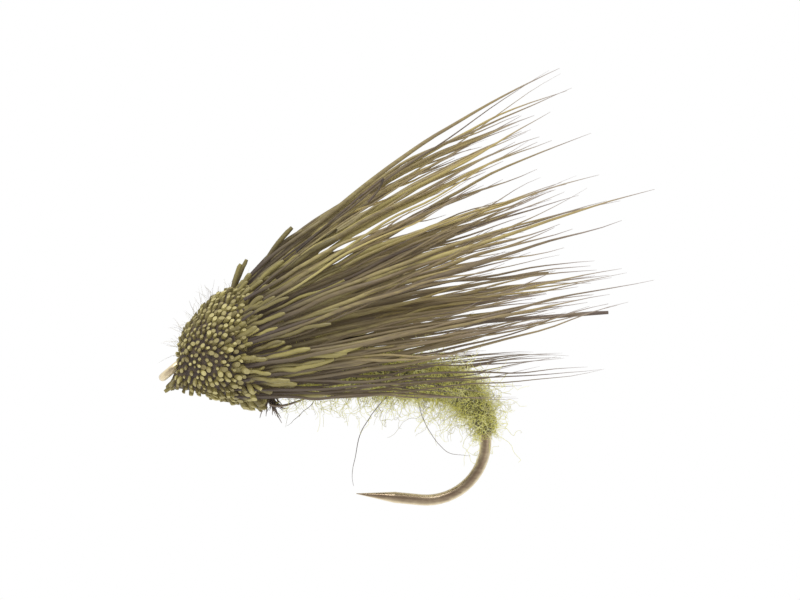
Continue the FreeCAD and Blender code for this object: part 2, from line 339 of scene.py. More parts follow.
    def grow(self, name, source, **values):
        """Runs the tree on a mesh with these inputs and returns the result as a plain mesh object."""
        grown = bpy.data.objects.new(name, source)
        bpy.context.scene.collection.objects.link(grown)
        modifier = grown.modifiers.new("grow", "NODES")
        modifier.node_group = self.node_tree
        for item in self.node_tree.interface.items_tree:
            if item.in_out == "INPUT" and item.name in values:
                modifier[item.identifier] = values[item.name]
        depsgraph = bpy.context.evaluated_depsgraph_get()
        mesh = bpy.data.meshes.new_from_object(grown.evaluated_get(depsgraph), depsgraph=depsgraph)
        grown.modifiers.clear()
        grown.data = mesh
        return grown


def plain_mesh(name, points, faces=()):
    mesh = bpy.data.meshes.new(name)
    mesh.from_pydata([tuple(p) for p in points], [], [tuple(f) for f in faces])
    return mesh


wraps = GeometryTree("thread_wraps", Turns=6, Start=0.0, Radius=0.3 * MM, Swell=0.0, Thickness=THREAD_R)
steps = wraps.given("Turns") * THREAD_STEPS
path = wraps.node("GeometryNodeCurvePrimitiveLine", None, {"End": (MM, 0.0, 0.0)})
path = wraps.node("GeometryNodeResampleCurve", None, {"Curve": path, "Count": steps})
number = wraps.node("GeometryNodeInputIndex")
turn = number / THREAD_STEPS
angle = turn * math.tau
share = wraps.node("GeometryNodeSplineParameter", output="Factor")
bulge = wraps.given("Swell") * (share * math.pi).math("SINE")
reach = wraps.given("Radius") + bulge + wraps.given("Thickness")
spot = wraps.xyz(
    wraps.given("Start") + turn * wraps.given("Thickness") * 2.0,
    angle.math("SINE") * reach,
    angle.math("COSINE") * reach + SHANK_Z)
wraps.close(wraps.tube(wraps.moved(path, spot), wraps.given("Thickness"), 8))


def waxed_thread(tree):
    twist = tree.noise(1.0, 2.0, 0.5, tree.stretched((30000.0, 9000.0, 9000.0)))
    return {
        "Base_Color": tree.mix(twist.between(0.35, 0.65), (0.022, 0.012, 0.014), (0.085, 0.052, 0.045)),
        "Roughness": 0.30 + 0.25 * twist,
        "Normal": tree.bump(twist, 0.4, 0.00001),
    }


WAXED_THREAD = finish("waxed_thread", waxed_thread, Coat_Weight=0.2)
BURIED_THREAD = ("thread_base", "clump_lashing_2", "clump_lashing_3", "clump_lashing_4")
for name in BURIED_THREAD:
    coated(name, WAXED_THREAD)


def still(piece, slot, *nodes):
    """A piece that stays with the hook, and the CAD nodes that it stands for."""
    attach(piece, HOOK_BODY)
    if nodes:
        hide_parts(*nodes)


def wound(name, node, layers, inner_radius, swell=0.0):
    """Layers of touching turns over the length of a CAD sleeve, as one piece that stands for it."""
    low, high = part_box(node)
    turns = round((high.x - low.x) / (2 * THREAD_R))
    coils = []
    for layer in range(layers):
        coils.append(wraps.grow(
            f"{name}_{layer}", plain_mesh("seed", [(0, 0, 0)]), Turns=turns, Start=low.x + THREAD_R,
            Radius=inner_radius + layer * 1.8 * THREAD_R, Swell=swell, Material=WAXED_THREAD))
    with bpy.context.temp_override(active_object=coils[0], selected_editable_objects=coils):
        bpy.ops.object.join()
    coils[0].name = name
    still(coils[0], "tying_thread", node)


EYE_WIRE_R = 0.20 * MM
WIRE_R = mount("spear")["dims"]["r_mm"] * MM
BASE_R = WIRE_R + 2 * THREAD_R
wound("whip_finish_wraps", "whip_finish", 2, EYE_WIRE_R + 0.02 * MM, 0.03 * MM)
wound("wing_lashing_wraps", "wing_lashing", 2, BASE_R)


def set_varnish(tree):
    cloud = tree.noise(4000.0, 2.0)
    return {
        "Base_Color": tree.mix(cloud, (0.030, 0.016, 0.018), (0.075, 0.045, 0.040)),
        "Roughness": 0.06 + 0.08 * cloud,
    }


SET_VARNISH = finish("set_varnish", set_varnish, Coat_Weight=1.0, Coat_Roughness=0.05)
coated("varnish_drop", SET_VARNISH)

# ---- Dubbed body ------------
# Olive fur dubbing twisted on thread and wound over the shank and round the bend. The wound core
# is a matted tube; springy fibres curl out of it all over, and longer ones are teased out below.
BEND_R = (SHANK_Z - mount("spear")["pos_m"][2]) / 2
BEND_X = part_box("hook")[1].x - WIRE_R - BEND_R      # where the shank ends and the bend starts
BODY_FRONT_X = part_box("dubbed_body")[0].x
BODY_END_ANGLE = math.radians(80)
BELLY_R = 0.80 * MM
BODY_FRONT_R = 0.60 * MM
BODY_TAIL_R = 0.40 * MM
CORE_RINGS = 150
CORE_SIDES = 40
SKIN_AREA = 4.0e-5                          # square metres of core that Count fibres are meant for


def hook_line(distance):
    """The wire's centre at a distance behind the dubbing's front, and the way out of the bend."""
    straight = BEND_X - BODY_FRONT_X
    if distance <= straight:
        return Vector((BODY_FRONT_X + distance, 0, SHANK_Z)), Vector((0, 0, 1))
    angle = (distance - straight) / BEND_R
    outward = Vector((math.sin(angle), 0, math.cos(angle)))
    return Vector((BEND_X, 0, SHANK_Z - BEND_R)) + outward * BEND_R, outward


def dubbed_core():
    """The matted tube: slim in front, full before the bend, slim at its end, and lumpy all along."""
    length = BEND_X - BODY_FRONT_X + BEND_R * BODY_END_ANGLE
    points = []
    for ring in range(CORE_RINGS + 1):
        share = ring / CORE_RINGS
        centre, outward = hook_line(share * length)
        fullness = math.sin(math.pi * min(1.0, 0.30 + 0.62 * share)) ** 0.6
        tail = 1 - max(0.0, (share - 0.76) / 0.24) ** 2
        radius = BODY_TAIL_R * (1 - tail) + tail * (BODY_FRONT_R + (BELLY_R - BODY_FRONT_R) * fullness)
        nose = math.sqrt(min(1.0, share * 28 + 0.02)) * math.sqrt(min(1.0, (1 - share) * 34 + 0.02))
        for side in range(CORE_SIDES):
            roll = math.tau * side / CORE_SIDES
            wound_lump = 1 + 0.035 * math.sin(share * 120 + roll)
            out = outward * math.cos(roll) + Vector((0, 1, 0)) * math.sin(roll)
            points.append(centre + out * radius * nose * wound_lump)
    return points


def ringed_faces(rings, sides):
    """Quads between rings of points, and one face that closes each end."""
    faces = [list(range(sides))[::-1]]
    for ring in range(rings):
        for side in range(sides):
            after = (side + 1) % sides
            a, b = ring * sides + side, ring * sides + after
            faces.append((a, b, b + sides, a + sides))
    faces.append([rings * sides + side for side in range(sides)])
    return faces


def outward_faces(mesh):
    """Turns every face of a closed mesh outwards."""
    shape = bmesh.new()
    shape.from_mesh(mesh)
    bmesh.ops.recalc_face_normals(shape, faces=shape.faces)
    shape.to_mesh(mesh)
    shape.free()
    return mesh


def placed(name, mesh, material):
    piece = bpy.data.objects.new(name, mesh)
    bpy.context.scene.collection.objects.link(piece)
    mesh.materials.append(material)
    for face in mesh.polygons:
        face.use_smooth = True
    return piece


def matted_dubbing(tree):
    strands = tree.noise(9000.0, 4.0, 0.65, noise_type="RIDGED_MULTIFRACTAL")
    cloud = tree.noise(700.0, 3.0)
    olive = tree.mix(cloud.between(0.35, 0.65), (0.34, 0.32, 0.09), (0.72, 0.69, 0.21))
    return {
        "Base_Color": tree.mix(strands.between(0.15, 1.2), (0.11, 0.10, 0.045), olive),
        "Roughness": 0.75 + 0.15 * cloud,
        "Normal": tree.bump(strands, 0.8, 0.00005),
    }


def dubbing_fibre(tree):
    strand = tree.attribute("shade")
    cloud = tree.noise(500.0, 2.0)
    tint = tree.ramp(
        strand, (0.0, (0.27, 0.22, 0.11)), (0.25, (0.52, 0.48, 0.10)), (0.6, (0.82, 0.79, 0.125)),
        (0.82, (0.90, 0.87, 0.25)), (1.0, (0.95, 0.92, 0.58)))
    return {
        "Base_Color": tree.mix(0.25 * cloud, tint, (0.48, 0.48, 0.08)),
        # A faint glow: painted light that stands in for light coming through the fibres.
        "Emission_Color": tree.mix(strand, (0.020, 0.017, 0.004), (0.055, 0.052, 0.012)),
        "Roughness": 0.45 + 0.25 * strand,
    }


DUBBING_FIBRE = finish("dubbing_fibre", dubbing_fibre, Sheen_Weight=0.4, Emission_Strength=1.0)
core_mesh = outward_faces(plain_mesh("core", dubbed_core(), ringed_faces(CORE_RINGS, CORE_SIDES)))
dubbing = placed("dubbing_core", core_mesh, finish("matted_dubbing", matted_dubbing, Sheen_Weight=0.5))
still(dubbing, "olive_dubbing", "dubbed_body")

# A curl leaves the core, bows out by Reach and comes back or trails by Trail, kinking as it goes.
# Droop pulls it downwards.
curls = GeometryTree(
    "curly_fibres", Count=2400, Steps=10, Reach=0.45 * MM, Trail=0.5 * MM, Kink=0.35 * MM, Droop=0.0,
    Thickness=0.011 * MM, Thin=0.5, Seed=1)
spots = curls.node("GeometryNodeDistributePointsOnFaces", {"distribute_method": "RANDOM"}, {
    "Mesh": curls.given("Geometry"), "Density": curls.given("Count") / SKIN_AREA,
    "Seed": curls.given("Seed")}, "Points")
normal = spots.out("Normal")
seed = curls.given("Seed")
down = curls.xyz(0.0, 0.0, -1.0)
wild = curls.vector("NORMALIZE", curls.sum(curls.chance_vector(seed + 1), curls.scaled(normal, 0.4)))
reach = curls.given("Reach") * curls.chance(seed + 2, 0.3, 1.3)
trail = curls.given("Trail") * curls.chance(seed + 3, 0.2, 1.3)
below = (0.0 - curls.node("ShaderNodeSeparateXYZ", None, {0: normal}, "Z")).clamped()
sag = curls.given("Droop") * below * curls.chance(seed + 4, 0.3, 1.2)
knee = curls.sum(
    curls.scaled(normal, reach), curls.scaled(wild, trail * 0.5), curls.scaled(down, sag * 0.5))
rise = reach * curls.chance(seed + 5, -0.1, 0.9)
tip = curls.sum(curls.scaled(normal, rise), curls.scaled(wild, trail * 1.6), curls.scaled(down, sag))
rooted = curls.store(spots, "root", curls.node("GeometryNodeInputPosition"))
rooted = curls.store(rooted, "knee", knee)
rooted = curls.store(rooted, "tip", tip)
rooted = curls.store(rooted, "shade", curls.chance(seed + 6))
rooted = curls.store(rooted, "strand", curls.chance(seed + 7, 0.0, 900.0))
fibres, share = curls.lines_on(rooted, curls.given("Steps"))
kink = curls.given("Kink") * share.between(0.0, 0.3) * 2.0
kink = curls.scaled(curls.wander(share * 2.6, curls.named("strand")), kink)
fibres = curls.moved(fibres, curls.sum(curls.named_vector("root"), curls.bow(share), kink))
curls.close(curls.tube(fibres, curls.given("Thickness") * (1.0 - share * curls.given("Thin")), 3))

matted = curls.grow(
    "body_fibres", core_mesh.copy(), Count=4000, Steps=6, Reach=0.20 * MM, Trail=0.36 * MM,
    Thickness=0.013 * MM, Material=DUBBING_FIBRE, Seed=11)
still(matted, "olive_dubbing")
teased = curls.grow(
    "picked_out_fibres", core_mesh.copy(), Count=560, Steps=16, Reach=0.70 * MM, Trail=0.80 * MM,
    Kink=1.1 * MM, Droop=0.75 * MM, Thickness=0.014 * MM, Seed=41, Material=DUBBING_FIBRE)
still(teased, "olive_dubbing", "picked_fibres")

# ---- Wing ------------
# Three stacked bunches of dyed deer body hair, tied in by the butts so that the tips fan back over
# the hook. Hairs cling together in locks, bow back as they leave the thread and end in fine tips.
swept = GeometryTree(
    "swept_hair", Steps=26, Sides=6, Taper_from=0.40, Tip=0.07, Lock_sway=1.4 * MM, Hair_sway=0.66 * MM,
    Waves=2.4, Root_thin=0.0)
rooted = swept.node("GeometryNodeMeshToPoints", None, {"Mesh": swept.given("Geometry")})
rooted = swept.store(rooted, "root", swept.node("GeometryNodeInputPosition"))
hairs, share = swept.lines_on(rooted, swept.given("Steps"))
left = 1.0 - share
line = swept.sum(swept.scaled(swept.named_vector("root"), left * left), swept.bow(share))
waves = share * swept.given("Waves")
span = swept.named("span")
lock_sway = swept.given("Lock_sway") * share * span
lock_sway = swept.scaled(swept.wander(waves, swept.named("lock")), lock_sway)
hair_sway = swept.given("Hair_sway") * share.between(0.0, 0.3) * span
hair_sway = swept.scaled(swept.wander(waves * 1.7, swept.named("strand")), hair_sway)
hairs = swept.moved(hairs, swept.sum(line, swept.sum(lock_sway, hair_sway)))
hairs = swept.store(hairs, "along", share)
worn = ((share - swept.given("Taper_from")) / (1.0 - swept.given("Taper_from"))).clamped()
slim = 1.0 - (1.0 - swept.given("Tip")) * worn ** 1.4
slim = slim * (1.0 - swept.given("Root_thin") * (left ** 3.0))
swept.close(swept.tube(hairs, swept.named("thick") * slim, swept.given("Sides")))


def seeds(name, hairs):
    """A mesh with a vertex at each hair's root, and the rest of the hair's facts as attributes."""
    mesh = plain_mesh(name, [hair["root"] for hair in hairs])
    for fact in hairs[0]:
        if fact == "root":
            continue
        if isinstance(hairs[0][fact], Vector):
            column = mesh.attributes.new(fact, "FLOAT_VECTOR", "POINT")
            column.data.foreach_set("vector", [part for hair in hairs for part in hair[fact]])
        else:
            column = mesh.attributes.new(fact, "FLOAT", "POINT")
            column.data.foreach_set("value", [hair[fact] for hair in hairs])
    return mesh


ROOT_HALF_WIDTH = 2.45 * MM         # of the hair's spread where it leaves the head
ROOT_ABOVE = 3.70 * MM
ROOT_BELOW = 2.05 * MM
UNDERSIDE_SQUARE = 0.74             # 1 would make the underside's section a plain half ellipse
WING_HIGH = math.radians(40.5)      # how steeply the top of the wing leaves, seen from the side
WING_LOW = math.radians(2.6)
WING_SIDE = math.radians(14)        # how far its sides lean out, seen from above
WING_BOW = math.radians(8.5)        # a hair starts this much steeper, and ends this much flatter
KNEE_SHARE = 0.40                   # of a hair's length, before its bow's middle
HAIR_START_X = TIE.x - 0.9 * MM     # under the thread
ROOT_SPREAD = 0.24 * MM             # of the hairs of a lock about its middle
KNEE_SPREAD = 0.26 * MM
TIP_SPREAD = 0.19 * MM
CROSSING_THICK = 0.5                # of a plain hair's thickness
LOW_THIN = 0.44                     # how much thinner and closer set the lowest hairs are, and how much painted shade darkens them
LOW_PAINTED_SHADE = 0.62
LOW_EXTRA = 3


def section(roll, half_width, above, below):
    """A point of the outline across the shank: half an ellipse over a squarer and shallower half."""
    sides, upright = math.sin(roll), math.cos(roll)
    if upright > 0:
        return Vector((0, half_width * sides, SHANK_Z + above * upright))
    sides = math.copysign(abs(sides) ** UNDERSIDE_SQUARE, sides)
    return Vector((0, half_width * sides, SHANK_Z - below * abs(upright) ** UNDERSIDE_SQUARE))


def hair_root(x, roll, share):
    """Where hair at a roll leaves the head, for a share of the hair's whole spread there."""
    outline = section(roll, ROOT_HALF_WIDTH * share, ROOT_ABOVE * share, ROOT_BELOW * share)
    return Vector((x, 0, 0)) + outline


def hair_way(root, steeper=0.0, wider=0.0):
    """The way hair leaves a root: the higher the root the steeper, and outwards at the sides."""
    rise = (root.z - SHANK_Z + ROOT_BELOW) / (ROOT_ABOVE + ROOT_BELOW)
    elevation = WING_LOW + (WING_HIGH - WING_LOW) * rise + steeper
    sideways = WING_SIDE * root.y / ROOT_HALF_WIDTH + wider
    flat = math.cos(sideways)
    return Vector((math.cos(elevation) * flat, math.sin(sideways), math.sin(elevation) * flat))


# Seen from the side, the wing parts along two lines: where each starts, how it climbs and opens.
PARTINGS = (
    (Vector((6.8 * MM, 0, 0.95 * MM)), 0.030, 0.115),
    (Vector((9.0 * MM, 0, 1.90 * MM)), 0.153, 0.100),
)
UNDERSIDE_Z = -1.95 * MM            # the lowest hairs' line, carried forward to the eye
UNDERSIDE_CLIMB = 0.14


def parted(point):
    """A point of a hair, moved off the partings and kept above the wing's underside."""
    for start, climb, opens in PARTINGS:
        beyond = max(0.0, point.x - start.x)
        middle = start.z + climb * beyond
        off = point.z - middle
        if abs(off) < 2 * opens * beyond:
            off = math.copysign(opens * beyond + abs(off) / 2, off)
        point = Vector((point.x, point.y, middle + off))
    point.z = max(point.z, UNDERSIDE_Z + UNDERSIDE_CLIMB * point.x)
    return point


def hair(rng, root, knee, tip, thick, lock=None, span=1.0, shade=None):
    """The facts of one hair: its bow's three points, its radius, and what its sway and tone follow."""
    return {
        "root": root, "knee": knee, "tip": tip, "thick": thick, "span": span,
        "lock": rng.uniform(0, 900) if lock is None else lock,
        "strand": rng.uniform(0, 900),
        "shade": rng.random() if shade is None else shade,
    }


def wing_hairs(rng, locks, hairs_in_lock, shares, lowest, lengths, crossing):
    """The hairs of one bunch, lock by lock, and a few that cross the others."""
    hairs = []
    for lock in range(locks + crossing):
        crosses = lock >= locks
        roll = lowest * (2 * (lock % locks + 0.5) / locks - 1) + rng.uniform(-6, 6)
        roll = math.radians(roll * (0.7 if crosses else 1.0))
        base = hair_root(HAIR_START_X, roll, rng.uniform(*shares))
        crown = max(0.0, math.cos(roll))
        belly = max(0.0, -math.cos(roll))
        underneath = min(1.0, max(0.0, 0.35 - math.cos(roll)))
        length = rng.uniform(*lengths) * (1 - 0.08 * crown ** 2 - 0.24 * belly)
        bow = WING_BOW * crown + rng.gauss(0, 0.045)
        turn = rng.uniform(0.14, 0.40) * (1 - 0.85 * crown) if crosses else rng.gauss(0, 0.03)
        knee = base + hair_way(base, bow + turn * 0.3, rng.gauss(0, 0.03)) * KNEE_SHARE * length
        tip = knee + hair_way(base, turn - bow, rng.gauss(0, 0.07)) * (1 - KNEE_SHARE) * length
        sway = rng.uniform(0, 900)
        tone = rng.random()
        slim = CROSSING_THICK if crosses else 1 - LOW_THIN * underneath
        for strand in range(1 if crosses else hairs_in_lock + round(LOW_EXTRA * underneath)):
            spread = Vector([rng.gauss(0, 1) for axis in range(3)])
            own = 1.05 - 0.48 * rng.random() ** 1.3
            # The lowest hairs' shade value is lowered: painted shade under the wing.
            hairs.append(hair(
                rng, base + Vector((0, spread.y, spread.z)) * ROOT_SPREAD,
                parted(base + (knee - base) * own + spread * KNEE_SPREAD),
                parted(base + (tip - base) * own + spread.yzx * TIP_SPREAD),
                rng.uniform(0.095, 0.145) * MM * slim, sway,
                shade=(0.6 * rng.random() + 0.4 * tone) * (1 - LOW_PAINTED_SHADE * underneath)))
    return hairs


def deer_hair(tree, tip_fade=1.0):
    """Olive brown, glossy, with light and dark streaks along each hair, and darker towards the tip."""
    along = tree.attribute("along")
    shade = tree.attribute("shade")
    streaks = tree.noise(1.0, 2.0, 0.5, tree.stretched((350.0, 5200.0, 5200.0)))
    cloud = tree.noise(260.0, 2.0)
    tone = (0.72 * shade + 0.36 * streaks + 0.25 * (cloud - 0.5)).clamped()
    root = tree.ramp(
        tone, (0.2, (0.076, 0.057, 0.040)), (0.5, (0.155, 0.120, 0.060)), (0.8, (0.37, 0.32, 0.12)))
    tip = tree.ramp(
        tone, (0.2, (0.105, 0.076, 0.060)), (0.5, (0.220, 0.165, 0.085)), (0.8, (0.38, 0.29, 0.11)))
    hidden = along.between(0.0, 0.38)           # the thread and the crowding shade a hair near its root
    colour = tree.mix(along.between(0.25, 0.95), root, tip)
    colour = tree.mix(along.between(0.80, 1.0) * tip_fade, colour, (0.28, 0.235, 0.22))
    return {
        "Base_Color": tree.mix(hidden, (0.048, 0.036, 0.030), colour),
        # A glow of painted light, standing in for light through the hair and fill light among the locks; it is
        # dimmest where the painted root shade is.
        "Emission_Color": tree.mix(tone * hidden, (0.026, 0.019, 0.015), (0.050, 0.041, 0.018)),
        "Roughness": 0.34 + 0.18 * streaks,
        "Normal": tree.bump(streaks, 0.35, 0.00003),
    }


DEER_HAIR = finish("deer_hair", deer_hair, Specular_IOR_Level=0.34, Emission_Strength=1.0)


def sprung(piece, *nodes, slot="wing_hair"):
    """Hair that is lashed to the hook: its place is baked into its mesh, and the CAD nodes it stands for are
    hidden.
    """
    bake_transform(piece)
    if nodes:
        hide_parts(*nodes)
    return piece


WING_BUNCHES = {
    "inner": dict(
        locks=9, crossing=5, shares=(0.15, 0.50), lowest=95, lengths=(15.0 * MM, 19.0 * MM)),
    "middle": dict(
        locks=13, crossing=7, shares=(0.55, 0.85), lowest=134, lengths=(16.0 * MM, 20.5 * MM)),
    "outer": dict(
        locks=16, crossing=8, shares=(0.85, 1.02), lowest=136, lengths=(16.5 * MM, 21.9 * MM)),
}
for number, (name, sizes) in enumerate(WING_BUNCHES.items()):
    rows = wing_hairs(random.Random(70 + number), hairs_in_lock=6, **sizes)
    bunch = swept.grow(f"wing_hair_{name}", seeds(name, rows), Material=DEER_HAIR)
    sprung(bunch, f"wing_bunch_{name}")


def lone(root, knee, tip, thick, span, shade):
    """A hair whose points are given one by one, in mm."""
    root, knee, tip = (Vector(point) * MM for point in (root, knee, tip))
    return hair(rng, root, knee, tip, thick * MM, span=span, shade=shade)


# A few hairs stand out from the rest: the long top one, one folded back on itself, and a dark one
# whose tip has broken off.
rng = random.Random(7)
odd_ones = [
    lone((3.2, -0.3, 4.3), (9.6, -0.6, 11.9), (17.7, -1.2, 16.7), 0.135, 0.5, 0.5),
    lone((3.3, 0.5, 4.2), (9.2, 0.9, 10.0), (16.2, 1.6, 14.2), 0.12, 0.5, 0.35),
]
sprung(swept.grow("long_top_hairs", seeds("long", odd_ones), Material=DEER_HAIR))
blunt_ones = [
    lone((4.2, -1.6, 1.2), (12.0, -3.0, 3.4), (21.4, -3.6, 4.85), 0.115, 0.4, 0.12),
    lone((3.9, -1.2, 2.8), (10.0, -2.4, 5.2), (18.2, -3.1, 6.5), 0.07, 0.5, 0.3),
    lone((5.6, -1.6, 6.4), (7.6, -1.9, 8.6), (9.55, -2.0, 10.45), 0.06, 0.1, 0.1),
    lone((9.55, -2.0, 10.45), (9.6, -2.0, 10.1), (8.9, -2.0, 9.2), 0.06, 0.1, 0.1),
]
sprung(swept.grow(
    "broken_and_folded_hairs", seeds("blunt", blunt_ones), Taper_from=0.97, Tip=0.8,
    Material=finish("broken_hair", lambda tree: deer_hair(tree, tip_fade=0.0), Specular_IOR_Level=0.34)))

# ---- Head ------------
# Four bunches of deer hair, spun round the hook and packed, then trimmed to a bullet with a flat
# underside. Only the cut butts show, packed like a brush, with dark gaps down between them.
clump_low, clump_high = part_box("head_clump_4")
HEAD_FRONT_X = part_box("head_clump_1")[0].x - 0.22 * MM      # the butts reach on past the hard core
HEAD_BACK_X = clump_high.x
HEAD_LENGTH = HEAD_BACK_X - HEAD_FRONT_X
HEAD_HALF_WIDTH = clump_high.y
HEAD_ABOVE = clump_high.z - SHANK_Z
HEAD_BELOW = SHANK_Z - clump_low.z
NOSE_SHARE = 0.22                   # of the full height and width, at the nose
NOSE_BELOW_SHARE = 0.85             # of the full depth below the shank, at the nose
HEAD_ROUNDING = 0.74                # under 1, the bullet fills out quickly behind its nose
CHIN_REACH = 0.38 * MM              # how far the underside runs forward below the eye
HEEL_REACH = 1.10 * MM              # and back below the wing
HEAD_RINGS = 40
HEAD_SIDES = 72


def head_skin(x, roll, inset=0.0):
    """A point of the trimmed surface, or of one that lies inside it by inset."""
    share = min(1.0, max(0.0, (x - HEAD_FRONT_X) / HEAD_LENGTH))
    swell = NOSE_SHARE + (1 - NOSE_SHARE) * math.sin(math.pi / 2 * share ** HEAD_ROUNDING)
    below = NOSE_BELOW_SHARE + (1 - NOSE_BELOW_SHARE) * share
    outline = section(
        roll, HEAD_HALF_WIDTH * swell - inset, HEAD_ABOVE * swell - inset, HEAD_BELOW * below - inset)
    reach = HEEL_REACH * share ** 2 - CHIN_REACH * (1 - share) ** 2
    underneath = min(1.0, 1.5 * max(0.0, -math.cos(roll)))
    return outline + Vector((x + reach * underneath, 0, 0))


def cut_hair(tree, pale_by=1.05):
    """Olive hair, darkened towards its root by painted shade among the packed hairs and paler towards
    the cut, with the pale pith showing on the cut face.
    """
    along = tree.attribute("along")
    shade = tree.attribute("shade")
    end = tree.attribute("cut")
    streaks = tree.noise(1.0, 2.0, 0.5, tree.stretched((900.0, 5200.0, 5200.0)))
    pith = tree.noise(16000.0, 2.0)
    tone = (0.6 * shade + 0.4 * streaks).clamped()
    dark = tree.mix(tone, (0.048, 0.034, 0.027), (0.12, 0.095, 0.046))
    pale = tree.mix(tone, (0.088, 0.069, 0.028), (0.335, 0.29, 0.092))
    # Down towards the root the side darkens: painted shade among the packed hairs.
    side = tree.mix(along.between(0.20, pale_by), dark, pale)
    pithy = (0.6 * pith + 0.8 * shade - 0.2).clamped()
    face = tree.mix(pithy, (0.165, 0.135, 0.054), (0.49, 0.435, 0.195))
    return {
        "Base_Color": tree.mix(end, side, face),
        # A glow of painted light, standing in for light through the hair, stronger on light hairs.
        "Emission_Color": tree.mix(tone, (0.020, 0.015, 0.011), (0.034, 0.028, 0.012)),
        "Roughness": 0.36 + 0.35 * end,
        "Normal": tree.bump(streaks + pith * end, 0.4, 0.00003),
    }


CUT_HAIR = finish("cut_hair", cut_hair, Specular_IOR_Level=0.3, Emission_Strength=1.0)


def head_shell(inset, front, back):
    """A closed bullet between two places along the shank, inside the trimmed surface by inset."""
    points = []
    for ring in range(HEAD_RINGS + 1):
        x = front + (back - front) * (ring / HEAD_RINGS) ** 1.6
        for side in range(HEAD_SIDES):
            points.append(head_skin(x, math.tau * side / HEAD_SIDES, inset))
    return outward_faces(plain_mesh("bullet", points, ringed_faces(HEAD_RINGS, HEAD_SIDES)))


# Each cut butt points out from the lashing that holds its bunch, and its end is sheared to the skin.
butts = GeometryTree(
    "cut_butts", Spacing=0.272 * MM, Depth=0.85 * MM, Lean=0.74, Proud=0.22 * MM, Proud_behind=0.40 * MM,
    Thinnest=0.070 * MM, Thickest=0.155 * MM, Nose=HEAD_FRONT_X, Length=HEAD_LENGTH, Shank=SHANK_Z,
    Eye_room=0.80 * MM, Seed=5)
points = butts.node("GeometryNodeDistributePointsOnFaces", {"distribute_method": "POISSON"}, {
    "Mesh": butts.given("Geometry"), "Distance Min": butts.given("Spacing"), "Density Max": 6.0e7,
    "Density Factor": 1.0, "Seed": butts.given("Seed")}, "Points")
skin_normal = points.out("Normal")
place = butts.node("GeometryNodeInputPosition")
eye_axis = Vector(mount("eye")["axis"])
from_axis = butts.vector("CROSS_PRODUCT", place, tuple(eye_axis))
from_axis = butts.vector("LENGTH", from_axis, output="Value")
in_the_way = butts.node("FunctionNodeCompare", {"data_type": "FLOAT", "operation": "LESS_THAN"}, {
    "A": from_axis, "B": butts.given("Eye_room")})
points = butts.node("GeometryNodeDeleteGeometry", {"domain": "POINT"}, {
    "Geometry": points, "Selection": in_the_way})
place_x = butts.node("ShaderNodeSeparateXYZ", None, {0: place}, "X")
back_of_nose = place_x - butts.given("Nose") - 0.5 * MM
lashing = butts.xyz(place_x - back_of_nose * butts.given("Lean"), 0.0, butts.given("Shank"))
seed = butts.given("Seed")
backness = back_of_nose / butts.given("Length")
aim = butts.vector("NORMALIZE", butts.vector("SUBTRACT", place, lashing))
aim = butts.sum(aim, butts.scaled(skin_normal, 0.3), butts.chance_vector(seed + 1, 0.26))
aim = butts.vector("NORMALIZE", aim)
facing = butts.vector("NORMALIZE", butts.sum(skin_normal, butts.chance_vector(seed + 6, 0.30)))
points = butts.store(points, "facing", facing)
points = butts.store(points, "aim", aim)
uneven = (butts.chance(seed + 2) - 0.35) * butts.given("Proud")
proud = butts.given("Proud_behind") * backness.between(0.25, 1.0)
uneven = uneven + butts.chance(seed + 5) ** 2.0 * proud
points = butts.store(points, "end", butts.sum(place, butts.scaled(aim, uneven)))
thick = butts.chance(seed + 3, butts.given("Thinnest"), butts.given("Thickest"))
points = butts.store(points, "thick", thick * (0.88 + 0.34 * backness.clamped()))
points = butts.store(points, "shade", butts.chance(seed + 4))
stalks, step = butts.lines_on(points, 5)
share = step ** 0.5                 # steps crowd towards the cut end, which is a little rounded
aim = butts.named_vector("aim")
end = butts.named_vector("end")
depth = (1.0 - share) * butts.given("Depth")
stalks = butts.moved(stalks, butts.vector("SUBTRACT", end, butts.scaled(aim, depth)))
stalks = butts.store(stalks, "along", share)
rounded = 1.0 - 0.22 * share.between(0.90, 1.0)
stalks = butts.tube(stalks, butts.named("thick") * (0.72 + 0.28 * share) * rounded, 9)
at_end = butts.node("FunctionNodeCompare", {"data_type": "FLOAT", "operation": "GREATER_THAN"}, {
    "A": butts.named("along"), "B": 0.99})
facing = butts.named_vector("facing")
off_plane = butts.vector("SUBTRACT", butts.node("GeometryNodeInputPosition"), end)
off_plane = butts.vector("DOT_PRODUCT", off_plane, facing, output="Value")
slope = butts.vector("DOT_PRODUCT", aim, facing, output="Value")
sheared = off_plane / slope.math("MAXIMUM", 0.4) * slope.between(0.4, 0.8)
sheared = sheared.math("MINIMUM", 0.2 * MM).math("MAXIMUM", -0.2 * MM)
stalks = butts.node("GeometryNodeSetPosition", None, {
    "Geometry": stalks, "Selection": at_end, "Offset": butts.scaled(aim, 0.0 - sheared)})
butts.close(stalks)


def shaded_gaps(tree):
    """The dark between the butts: painted shade on the packed hair below the cut ends, streaked outwards."""
    cloud = tree.noise(3500.0, 3.0)
    return {
        "Base_Color": tree.mix(cloud.between(0.35, 0.7), (0.055, 0.038, 0.033), (0.11, 0.080, 0.050)),
        "Roughness": 0.6 + 0.2 * cloud,
        "Normal": tree.bump(cloud, 0.6, 0.00005),
    }


CORE_INSET = 0.24 * MM
SKIN_INSET = 0.04 * MM
core_shell = head_shell(CORE_INSET, HEAD_FRONT_X + CORE_INSET, HEAD_BACK_X)
still(placed("head_core", core_shell, finish("shaded_gaps", shaded_gaps)), "cut_hair")
trimmed = butts.grow("head_butts", head_shell(SKIN_INSET, HEAD_FRONT_X, HEAD_BACK_X), Material=CUT_HAIR)
still(trimmed, "cut_hair", "head_clump_1", "head_clump_2", "head_clump_3", "head_clump_4")

